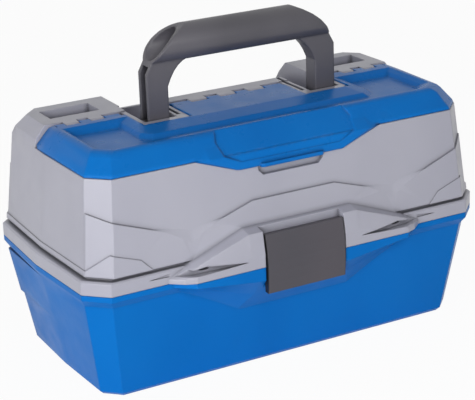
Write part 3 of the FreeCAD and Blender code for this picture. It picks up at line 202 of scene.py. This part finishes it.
def painted_hollow_shade(finish):
    """Painted shade in the bore of the grip and the open channels of the handle's legs, darker
    where the handle itself closes in the view.
    """
    return finish.ramp(finish.openness(HOLLOW_SHADE_REACH * MM), 0.30, 0.62, 0.8, 0.0)


def painted_flank_shade(finish):
    """Painted shade on the two narrow sides of the latch, which lie in the gap beside the boss."""
    outside = finish.math("GREATER_THAN", finish.from_middle(), FLANK_START * MM)
    return finish.math("MULTIPLY", outside, 0.85)


def moulded_plastic(name, colours, roughness, reflection, grain, softness, marks=None):
    """Satin moulded plastic with a fine spark texture, soft flow marks, rubbed edges and painted
    shade in its creases.

    The two colours are those between and on the flow marks, the grain is its cells per metre
    and its depth, the softness is the radius of the moulded edges, and the last argument, if
    given, is a mask of painted shade that darkens the colour to near black."""
    colour, deep = colours
    grain_cells, grain_depth = grain
    rubbed_light = tuple(channel + (0.75 - channel) * 0.45 for channel in colour)
    crease_shade_colour = tuple(channel * 0.3 for channel in deep)
    finish = Finish(name, roughness)
    finish.shader.inputs["Specular IOR Level"].default_value = reflection
    rounded, edge = finish.edge(softness * MM)
    flow = finish.ramp(finish.noise(FLOW_CELLS, 2, FLOW_STRETCH), 0.35, 0.65, 0.0, 1.0)
    worn = finish.ramp(finish.noise(WEAR_CELLS, 3), 0.45, 0.7, 0.0, WEAR_SHARE)
    # Painted shade: darker towards a deep colour in creases that the piece itself closes in
    crease_shade_share = finish.ramp(finish.openness(CREASE_SHADE_REACH * MM), 0.45, 0.95, 0.0, 1.0)
    tone = finish.blend(flow, deep, colour)
    tone = finish.blend(finish.math("MULTIPLY", edge, worn), tone, rubbed_light)
    tone = finish.blend(crease_shade_share, crease_shade_colour, tone)
    # Painted shade from the finish's own mask, towards near black
    if marks is not None:
        tone = finish.blend(marks(finish), tone, PAINTED_SHADE_BLACK)
    finish.link(tone, finish.shader.inputs["Base Color"])
    sheen = finish.ramp(finish.noise(SHEEN_CELLS, 4), 0.3, 0.7, roughness - 0.05, roughness + 0.06)
    finish.link(sheen, finish.shader.inputs["Roughness"])
    finish.grain([(finish.noise(grain_cells, 3), grain_depth * MM),
                  (finish.noise(RIPPLE_CELLS, 1), RIPPLE_DEPTH * MM)], rounded)
    return finish.material


def milky_plastic(name):
    finish = Finish(name, 0.38)
    rounded, _ = finish.edge(0.3 * MM)
    cloud = finish.ramp(finish.noise(30, 3), 0.3, 0.7, 0.0, 1.0)
    finish.link(finish.blend(cloud, MILKY_DEEP, MILKY), finish.shader.inputs["Base Color"])
    finish.grain([(finish.noise(1400, 2), 0.015 * MM)], rounded)
    return finish.material


def rolled_steel(name, roughness):
    """Zinc plated strip or wire with drawn marks along the length of the box."""
    finish = Finish(name, roughness, 1.0)
    rounded, _ = finish.edge(0.25 * MM)
    streaks = finish.noise(900, 3, (0.1, 1, 1))
    spangle = finish.ramp(finish.noise(220, 2), 0.35, 0.65, 0.0, 1.0)
    dull = tuple(channel * 0.8 for channel in ZINC)
    finish.link(finish.blend(spangle, dull, ZINC), finish.shader.inputs["Base Color"])
    finish.link(finish.ramp(streaks, 0.3, 0.7, roughness - 0.06, roughness + 0.1),
                finish.shader.inputs["Roughness"])
    finish.grain([(streaks, 0.01 * MM)], rounded)
    return finish.material


BLUES = (BLUE, BLUE_DEEP)
GREYS = (GREY, GREY_DEEP)
FINISHES = {
    "base_tub": moulded_plastic(
        "base_moulding", BLUES, 0.36, 0.08, grain=(1500, 0.020), softness=1.8),
    "flip_cover": moulded_plastic(
        "cover_moulding", BLUES, 0.30, 0.12, grain=(1500, 0.018), softness=2.4),
    "lid_shell": moulded_plastic(
        "lid_moulding", GREYS, 0.34, 0.5, grain=(1500, 0.022), softness=1.3),
    "carry_handle": moulded_plastic(
        "handle_moulding", (CHARCOAL_LIGHT, CHARCOAL), 0.44, 0.6,
        grain=(1100, 0.045), softness=2.4, marks=painted_hollow_shade),
    "latch_plate": moulded_plastic(
        "latch_moulding", (LATCH_GREY, CHARCOAL), 0.44, 0.4,
        grain=(1300, 0.035), softness=1.2, marks=painted_flank_shade),
    "tray_plastic": moulded_plastic(
        "tray_moulding", GREYS, 0.42, 0.2, grain=(1500, 0.020), softness=0.8),
    "divider_plastic": milky_plastic("divider_moulding"),
    "arm_steel": rolled_steel("arm_strip", 0.36),
    "pin_steel": rolled_steel("pin_wire", 0.28),
}


def soften_edges(piece, width):
    soften = piece.modifiers.new("soft_edges", "BEVEL")
    soften.width = width * MM
    soften.segments = EDGE_SEGMENTS
    soften.limit_method = "ANGLE"
    soften.angle_limit = math.radians(EDGE_ANGLE)
    soften.use_clamp_overlap = True
    soften.harden_normals = True


def finish_solids():
    """Gives every solid its finish and breaks its sharp edges."""
    for part in frame["record"]["subparts"]:
        solid = NODES[part["node"]]
        finish = FINISHES.get(part["node"]) or FINISHES[part["material_slot"]]
        for slot in solid.material_slots:
            slot.material = finish
        weld = solid.modifiers.new("joined_faces", "WELD")
        weld.merge_threshold = WELD_REACH * MM
        soften_edges(solid, EDGE_WIDTHS.get(part["node"], TRIM_WIDTH))


# Slender pockets in the lid's flange beside the latch boss, with an oval slot in each. All is
# in millimetres. A station has its distance from the middle, the pocket's lower and upper edge
# there, and the place of its rear wall.

POCKET_STATIONS = [
    (52, 100.2, 100.4, -106.4), (70, 99.3, 102.5, -103.2), (87, 98.6, 104.4, -101.2),
    (97, 98.4, 103.2, -99.6), (105, 98.5, 102.3, -98.0), (115, 98.7, 101.0, -93.9),
    (131, 99.1, 99.3, -93.9),
]
SLOT_CENTRE = (88, 101.6)
SLOT_HALF = (4.4, 1.1)
SLOT_BACK = -97.5
SLOT_SIDES = 24
CUTTER_FRONT = -118


def pocket_cutter(side):
    """The room of a pocket, bridged from station to station on one half of the box."""
    mesh = bmesh.new()
    walls = []
    for x, low, high, back in POCKET_STATIONS:
        places = ((CUTTER_FRONT, low), (back, low), (back, high), (CUTTER_FRONT, high))
        corners = [mesh.verts.new(Vector((side * x, y, z)) * MM) for y, z in places]
        walls += bmesh.ops.contextual_create(mesh, geom=corners)["faces"]
    for near, far in zip(walls, walls[1:]):
        bmesh.ops.bridge_loops(mesh, edges=[*near.edges, *far.edges])
    bmesh.ops.delete(mesh, geom=walls[1:-1], context="FACES_ONLY")
    return mesh


def slot_cutter(side):
    """The room of an oval slot, from in front of the flange to the slot's floor."""
    mesh = bmesh.new()
    bmesh.ops.create_circle(mesh, cap_ends=True, segments=SLOT_SIDES, radius=MM)
    bmesh.ops.scale(mesh, vec=(*SLOT_HALF, 1), verts=mesh.verts)
    bmesh.ops.rotate(mesh, matrix=Matrix.Rotation(math.radians(90), 3, "X"), verts=mesh.verts)
    x, z = SLOT_CENTRE
    bmesh.ops.translate(mesh, vec=Vector((side * x, CUTTER_FRONT, z)) * MM, verts=mesh.verts)
    drawn = bmesh.ops.extrude_face_region(mesh, geom=mesh.faces[:])["geom"]
    floor = [item for item in drawn if isinstance(item, bmesh.types.BMVert)]
    bmesh.ops.translate(mesh, vec=Vector((0, SLOT_BACK - CUTTER_FRONT, 0)) * MM, verts=floor)
    return mesh


def cut_away(piece, name, mesh):
    """Cuts a closed room out of a piece."""
    bmesh.ops.recalc_face_normals(mesh, faces=mesh.faces)
    cutter = add_object(name, mesh)
    cut = piece.modifiers.new("cut", "BOOLEAN")
    cut.operation = "DIFFERENCE"
    cut.solver = "EXACT"
    cut.object = cutter
    graph = bpy.context.evaluated_depsgraph_get()
    result = bpy.data.meshes.new_from_object(piece.evaluated_get(graph))
    piece.modifiers.remove(cut)
    piece.data = result
    bpy.data.objects.remove(cutter)


def make_lid_moulding():
    """The lid with its flange pockets, made from the lid's solid."""
    mesh = bmesh.new()
    mesh.from_mesh(NODES["lid_shell"].data)
    bmesh.ops.remove_doubles(mesh, verts=mesh.verts, dist=WELD_REACH * MM)
    lid = add_object("lid_moulding", mesh)
    for side in (1, -1):
        cut_away(lid, "pocket", pocket_cutter(side))
        cut_away(lid, "slot", slot_cutter(side))
    lid.data.materials.clear()
    lid.data.materials.append(FINISHES["lid_shell"])
    lid.data.polygons.foreach_set("material_index", [0] * len(lid.data.polygons))
    soften_edges(lid, EDGE_WIDTHS["lid_shell"])
    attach(lid, "lid")
    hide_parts("lid_shell")


# Studio

CAMERA_TARGET = Vector((-1.38, 0.0, 109.43)) * MM
CAMERA_AZIMUTH = -28.64
CAMERA_ELEVATION = 19.72
CAMERA_ROLL = -2.08
CAMERA_DISTANCE = 1385.24 * MM
CAMERA_LENS = 126.09
CAMERA_SENSOR = 36
WORLD_LEVEL = 0.26
WORLD_SEEN = 1.0
FLOOR_HALF = 3.0
FLOOR_GLOW = 0.95


def way_to(azimuth, elevation):
    """Direction from the box; the azimuth starts at the front and the elevation is up."""
    turn, rise = math.radians(azimuth), math.radians(elevation)
    return Vector((math.sin(turn) * math.cos(rise), -math.cos(turn) * math.cos(rise),
                   math.sin(rise)))


def looking_in(way, distance, roll=0.0):
    """Placement out along a direction from the middle of the box, looking back at it."""
    turned = (-way).to_track_quat("-Z", "Y").to_matrix().to_4x4()
    rolled = turned @ Matrix.Rotation(math.radians(roll), 4, "Z")
    return Matrix.Translation(CAMERA_TARGET + way * distance) @ rolled


def make_camera():
    camera = bpy.data.objects.new("camera", bpy.data.cameras.new("camera"))
    camera.data.lens = CAMERA_LENS
    camera.data.sensor_width = CAMERA_SENSOR
    way = way_to(CAMERA_AZIMUTH, CAMERA_ELEVATION)
    camera.matrix_world = looking_in(way, CAMERA_DISTANCE, CAMERA_ROLL)
    bpy.context.scene.collection.objects.link(camera)
    bpy.context.scene.camera = camera


def make_lamp(name, azimuth, elevation, distance, size, power):
    """A square soft light that looks at the middle of the box."""
    lamp = bpy.data.objects.new(name, bpy.data.lights.new(name, "AREA"))
    lamp.data.size = size
    lamp.data.energy = power
    lamp.matrix_world = looking_in(way_to(azimuth, elevation), distance)
    bpy.context.scene.collection.objects.link(lamp)


def seen_white(tree):
    """One where the camera, a reflection or a clear material looks, and 0 for other light."""
    path = tree.nodes.new("ShaderNodeLightPath")
    total = path.outputs["Is Camera Ray"]
    for name in ("Is Glossy Ray", "Is Transmission Ray"):
        greater = tree.nodes.new("ShaderNodeMath")
        greater.operation = "MAXIMUM"
        tree.links.new(total, greater.inputs[0])
        tree.links.new(path.outputs[name], greater.inputs[1])
        total = greater.outputs["Value"]
    return total


def make_world():
    world = bpy.data.worlds.new("studio")
    world.use_nodes = True
    tree = world.node_tree
    background = tree.nodes["Background"]
    background.inputs["Color"].default_value = (1, 1, 1, 1)
    level = tree.nodes.new("ShaderNodeMapRange")
    level.inputs["To Min"].default_value = WORLD_LEVEL
    level.inputs["To Max"].default_value = WORLD_SEEN
    tree.links.new(seen_white(tree), level.inputs["Value"])
    tree.links.new(level.outputs["Result"], background.inputs["Strength"])
    bpy.context.scene.world = world


def make_floor():
    mesh = bmesh.new()
    bmesh.ops.create_grid(mesh, x_segments=1, y_segments=1, size=FLOOR_HALF)
    floor = add_object("floor", mesh)
    paper = Finish("floor_paper", 0.95)
    paper.shader.inputs["Base Color"].default_value = (*PAPER, 1)
    glow = paper.add("Emission")
    glow.inputs["Color"].default_value = (1, 1, 1, 1)
    glow.inputs["Strength"].default_value = 1.0
    mix = paper.add("MixShader")
    paper.link(paper.math("MULTIPLY", seen_white(paper.tree), FLOOR_GLOW), mix.inputs["Fac"])
    paper.link(paper.shader.outputs["BSDF"], mix.inputs[1])
    paper.link(glow.outputs["Emission"], mix.inputs[2])
    output = next(node for node in paper.tree.nodes if node.type == "OUTPUT_MATERIAL")
    paper.link(mix.outputs["Shader"], output.inputs["Surface"])
    floor.data.materials.append(paper.material)


def make_studio():
    make_camera()
    make_world()
    make_floor()
    make_lamp("key_light", -48, 8, distance=1.6, size=1.0, power=19)
    make_lamp("brow_light", -10, 33, distance=1.5, size=0.3, power=3.5)
    bpy.context.scene.view_settings.view_transform = "Standard"


finish_solids()
make_lid_moulding()
make_studio()
